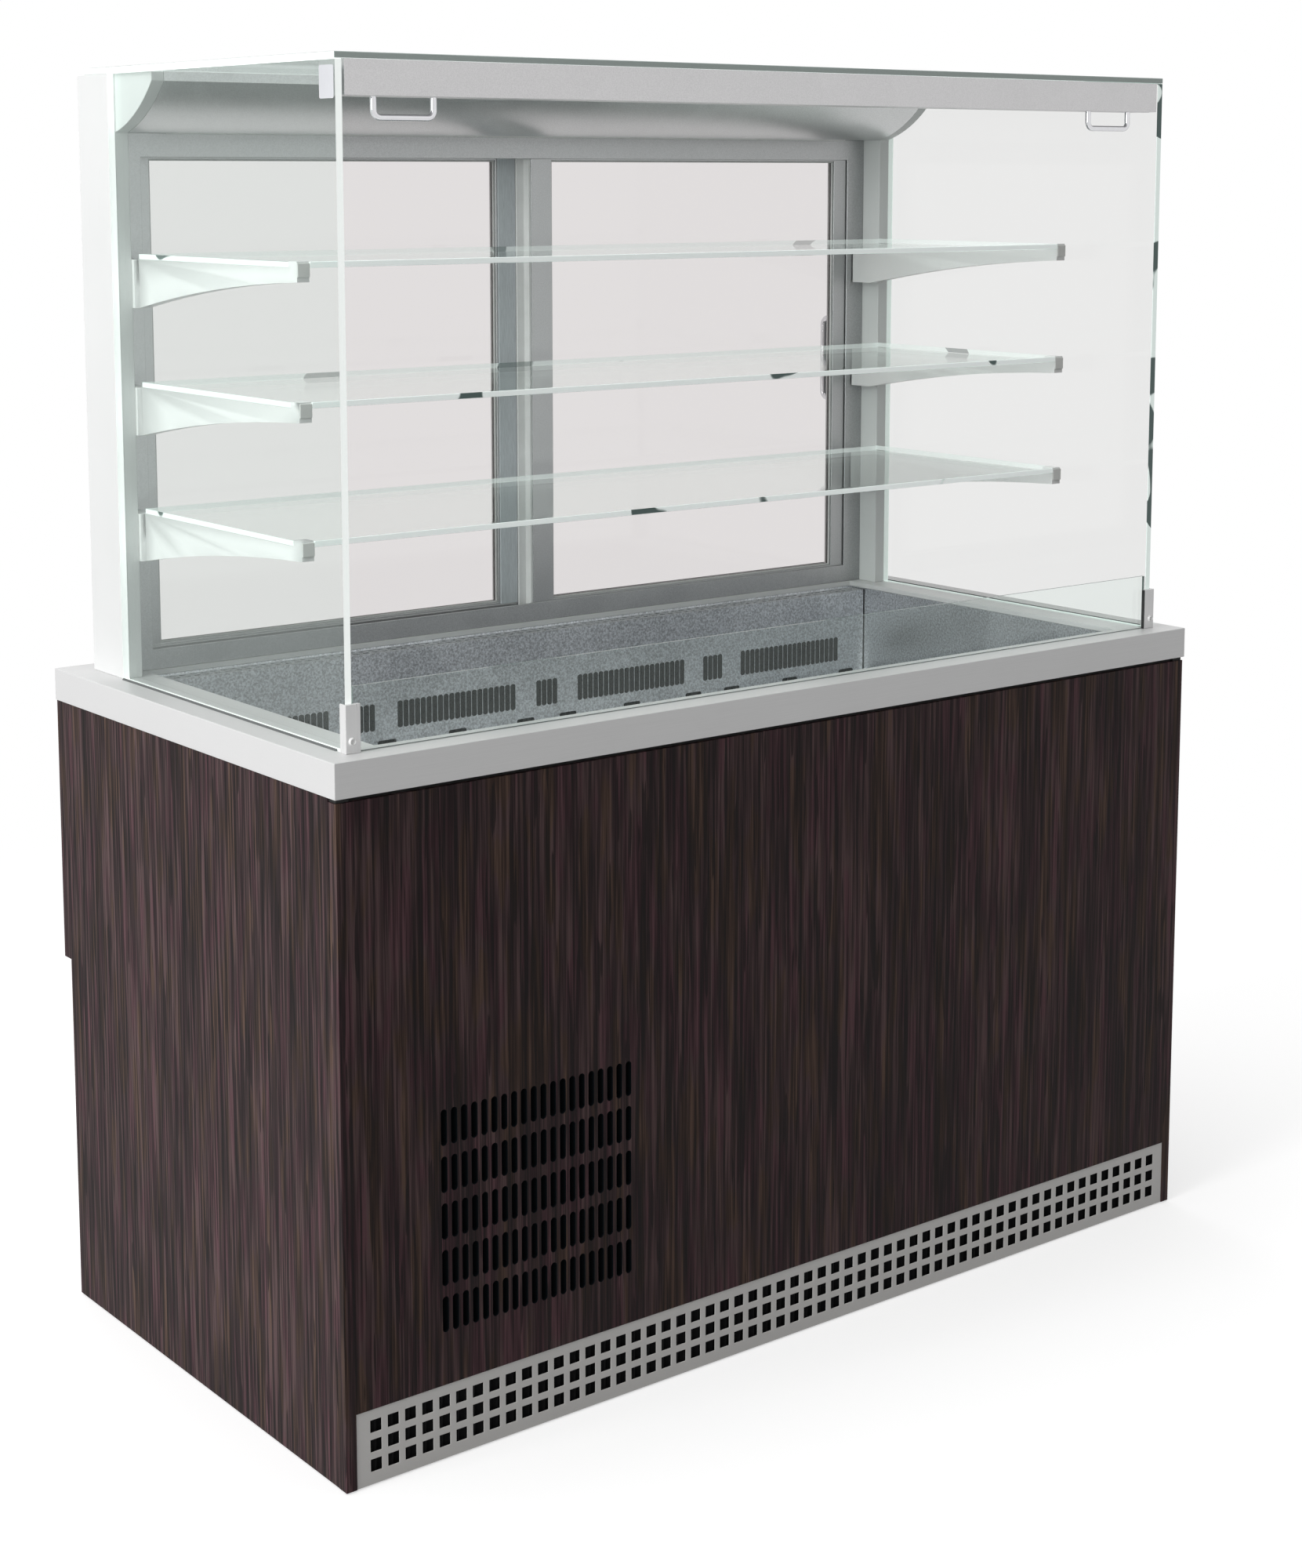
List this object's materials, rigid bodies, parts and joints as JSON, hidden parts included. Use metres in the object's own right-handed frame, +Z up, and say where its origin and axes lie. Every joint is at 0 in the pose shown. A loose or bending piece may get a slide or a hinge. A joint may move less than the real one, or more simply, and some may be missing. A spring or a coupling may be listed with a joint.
{
  "type": "refrigerated display case",
  "caption": "Self-service refrigerated display case: wood-look cabinet, steel worktop with a chilled well, glass sides and top, bracketed glass shelves, rear sliding doors and a night blind.",
  "frame": {"origin": "on the floor, under the middle of the worktop's outline", "axes": "+Z up, -Y towards the customer (the open front over the low glass), +Y towards the staff side with the sliding doors, +X to the right seen from the customer side"},
  "size_m": [1.48, 0.744, 1.714],
  "materials": {
    "black_plastic": "moulded, fine texture",
    "galvanised_steel": "zinc-coated sheet with faint spangle",
    "grille_paint": "satin warm-grey powder coat",
    "wood_laminate": "dark wood-look laminate with an upright grain",
    "black_rubber": "soft matt strip",
    "satin_steel": "satin brushed stainless sheet",
    "polished_steel": "bright rolled stainless sheet",
    "liner_steel": "matt stainless sheet with a fine mottle",
    "grey_paint": "satin grey powder coat",
    "button_plastic": "smooth moulded caps",
    "switch_plastic": "smooth moulded rockers",
    "chrome": "polished bar",
    "foam": "foamed-in insulation, cut faces",
    "fin_aluminium": "thin mill-finish fins",
    "pipe_plastic": "plain drain pipe",
    "black_enamel": "black stove enamel on steel",
    "copper": "bare copper tube",
    "white_enamel": "white powder coat",
    "anodised_aluminium": "satin anodised profile",
    "clear_glass": "clear toughened glass with polished green-grey edges",
    "light_diffuser": "frosted lamp cover",
    "grey_plastic": "moulded plug",
    "roll_fabric": "blind cloth wound on its tube",
    "blind_fabric": "woven blind cloth"
  },
  "bodies": {
    "case": {"levelling_feet": "black_plastic", "cabinet_frame": "black_enamel", "plinth_grille": "grille_paint", "left_side_panel": "wood_laminate", "right_side_panel": "wood_laminate", "front_panel": "wood_laminate", "gap_seal": "black_rubber", "worktop": "satin_steel", "rear_fascia": "grey_paint", "control_panel": "black_plastic", "plant_door_pivots": "galvanised_steel", "well_insulation": "foam", "well_liner": "liner_steel", "duct_panel": "liner_steel", "deck_plates": "liner_steel", "evaporator_coil": "fin_aluminium", "fan_plate": "galvanised_steel", "drain_pipe": "pipe_plastic", "compressor": "black_enamel", "condenser_coil": "black_enamel", "fan_shroud": "galvanised_steel", "refrigerant_pipes": "copper", "left_post": "white_enamel", "right_post": "white_enamel", "door_frame": "anodised_aluminium", "canopy": "polished_steel", "canopy_light": "light_diffuser", "left_side_glass": "clear_glass", "right_side_glass": "clear_glass", "top_glass": "clear_glass", "low_front_glass": "clear_glass", "glass_clips": "satin_steel", "shelf_brackets": "white_enamel", "bottom_shelf": "clear_glass", "middle_shelf": "clear_glass", "top_shelf": "clear_glass", "bracket_end_caps": "grey_plastic", "blind_cassette": "anodised_aluminium"},
    "left_sliding_door": {"left_sliding_door": "anodised_aluminium", "left_door_glass": "clear_glass", "left_door_handle": "chrome"},
    "right_sliding_door": {"right_sliding_door": "anodised_aluminium", "right_door_glass": "clear_glass", "right_door_handle": "chrome"},
    "left_plant_door": {"left_plant_door": "grey_paint", "left_plant_handle": "chrome"},
    "right_plant_door": {"right_plant_door": "grey_paint", "right_plant_handle": "chrome"},
    "blind": {"pull_bar": "anodised_aluminium", "pull_handles": "chrome", "blind_cloth": "blind_fabric"},
    "roller": {"roller_tube": "roll_fabric"},
    "left_evaporator_fan": {"left_evaporator_fan": "black_plastic"},
    "right_evaporator_fan": {"right_evaporator_fan": "black_plastic"},
    "condenser_fan": {"condenser_fan": "fin_aluminium"},
    "set_button": {"set_button": "button_plastic"},
    "up_button": {"up_button": "button_plastic"},
    "down_button": {"down_button": "button_plastic"},
    "main_switch": {"main_switch": "switch_plastic"},
    "light_switch": {"light_switch": "switch_plastic"}
  },
  "joints": [
    {"name": "left_door_slide", "type": "slide", "parent": "case", "child": "left_sliding_door", "axis": [1, 0, 0], "range_m": [0, 0.6]},
    {"name": "right_door_slide", "type": "slide", "parent": "case", "child": "right_sliding_door", "axis": [1, 0, 0], "range_m": [-0.6, 0]},
    {"name": "left_plant_hinge", "type": "hinge", "parent": "case", "child": "left_plant_door", "pos_m": [-0.709, 0.343, 0.296], "axis": [0, 0, 1], "range_deg": [0, 100]},
    {"name": "right_plant_hinge", "type": "hinge", "parent": "case", "child": "right_plant_door", "pos_m": [0.709, 0.343, 0.296], "axis": [0, 0, -1], "range_deg": [0, 100]},
    {"name": "blind_pull", "type": "slide", "parent": "case", "child": "blind", "axis": [0, 0, -1], "range_m": [0, 0.65], "deforming": ["blind_cloth"]},
    {"name": "roller_spin", "type": "hinge", "parent": "case", "child": "roller", "pos_m": [0, -0.30865, 1.688], "axis": [1, 0, 0], "range_deg": [0, 3760]},
    {"name": "left_evaporator_fan_spin", "type": "hinge", "parent": "case", "child": "left_evaporator_fan", "pos_m": [-0.325, -0.052, 0.66425], "axis": [0, 1, 0], "continuous": true},
    {"name": "right_evaporator_fan_spin", "type": "hinge", "parent": "case", "child": "right_evaporator_fan", "pos_m": [0.325, -0.052, 0.66425], "axis": [0, 1, 0], "continuous": true},
    {"name": "condenser_fan_spin", "type": "hinge", "parent": "case", "child": "condenser_fan", "pos_m": [-0.4525, -0.276, 0.298], "axis": [0, 1, 0], "continuous": true},
    {"name": "set_button_press", "type": "slide", "parent": "case", "child": "set_button", "axis": [0, -1, 0], "range_m": [0, 0.0012], "stiffness_N_per_m": 1000},
    {"name": "up_button_press", "type": "slide", "parent": "case", "child": "up_button", "axis": [0, -1, 0], "range_m": [0, 0.0012], "stiffness_N_per_m": 1000},
    {"name": "down_button_press", "type": "slide", "parent": "case", "child": "down_button", "axis": [0, -1, 0], "range_m": [0, 0.0012], "stiffness_N_per_m": 1000},
    {"name": "main_switch_rock", "type": "hinge", "parent": "case", "child": "main_switch", "pos_m": [0.388, 0.366, 0.67], "axis": [1, 0, 0], "range_deg": [0, 20]},
    {"name": "light_switch_rock", "type": "hinge", "parent": "case", "child": "light_switch", "pos_m": [0.36, 0.366, 0.67], "axis": [1, 0, 0], "range_deg": [0, 20]}
  ],
  "couplings": [
    {"joint": "roller_spin", "follows": "blind_pull", "rad_per_m": 100}
  ]
}
